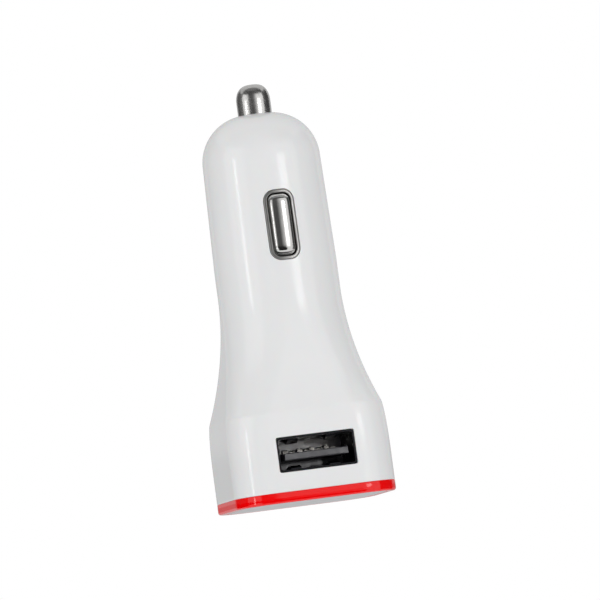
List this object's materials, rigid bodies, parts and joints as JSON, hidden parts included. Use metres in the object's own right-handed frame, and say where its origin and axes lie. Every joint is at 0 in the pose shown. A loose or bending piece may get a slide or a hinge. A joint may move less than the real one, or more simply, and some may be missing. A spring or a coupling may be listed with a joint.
{
  "type": "car usb charger plug",
  "caption": "Socket plug with a sprung tip and side contacts, flaring into a rounded square head with a USB port and a light ring.",
  "frame": {"origin": "centre of the flat end face, on the plug's axis", "axes": "+Z along the plug's axis towards the tip contact, -Y out of the USB port's mouth"},
  "size_m": [0.0272, 0.0272, 0.0704],
  "materials": {
    "white_plastic": "polished white moulding",
    "red_plastic": "tinted red translucent moulding",
    "grey_plastic": "pale grey satin moulding",
    "black_plastic": "black glass-filled nylon",
    "nickel": "bright nickel plate",
    "spring_steel": "drawn spring wire",
    "brass": "stamped brass",
    "gold_plate": "plated contact strip",
    "board_laminate": "green solder mask on glass laminate",
    "ferrite": "sintered ferrite",
    "copper_wire": "enamelled copper wire",
    "can_aluminium": "drawn aluminium can",
    "chip_ceramic": "fired chip part"
  },
  "bodies": {
    "charger": {"housing": "white_plastic", "light_ring": "red_plastic", "end_cap": "grey_plastic", "tip_spring": "spring_steel", "tip_terminal": "brass", "spring_seat": "black_plastic", "bezel_front": "nickel", "bezel_rear": "nickel", "ground_band": "nickel", "circuit_board": "board_laminate", "usb_shell": "nickel", "usb_insulator": "black_plastic", "usb_pin_1": "gold_plate", "usb_pin_2": "gold_plate", "usb_pin_3": "gold_plate", "usb_pin_4": "gold_plate", "inductor_core": "ferrite", "inductor_winding": "copper_wire", "input_capacitor": "can_aluminium", "output_capacitor": "can_aluminium", "capacitor_base": "black_plastic", "converter_chip": "black_plastic", "chip_leads": "nickel", "diode": "black_plastic", "fuse": "chip_ceramic", "ceramic_capacitors": "chip_ceramic", "chip_resistors": "chip_ceramic", "led_left": "red_plastic", "led_right": "red_plastic"},
    "tip": {"tip_contact": "nickel"},
    "ground_front": {"ground_contact_front": "nickel"},
    "ground_rear": {"ground_contact_rear": "nickel"}
  },
  "joints": [
    {"name": "tip_slide", "type": "slide", "parent": "charger", "child": "tip", "axis": [0, 0, -1], "range_m": [0, 0.0026], "stiffness_N_per_m": 800, "springref_m": -0.0015, "deforming": ["tip_spring"]},
    {"name": "ground_front_flex", "type": "hinge", "parent": "charger", "child": "ground_front", "pos_m": [0, -0.007, 0.0316], "axis": [-1, 0, 0], "range_deg": [0, 3.4], "stiffness_Nm_per_rad": 0.8, "springref_deg": -1.72},
    {"name": "ground_rear_flex", "type": "hinge", "parent": "charger", "child": "ground_rear", "pos_m": [0, 0.007, 0.0316], "axis": [1, 0, 0], "range_deg": [0, 3.4], "stiffness_Nm_per_rad": 0.8, "springref_deg": -1.72}
  ]
}
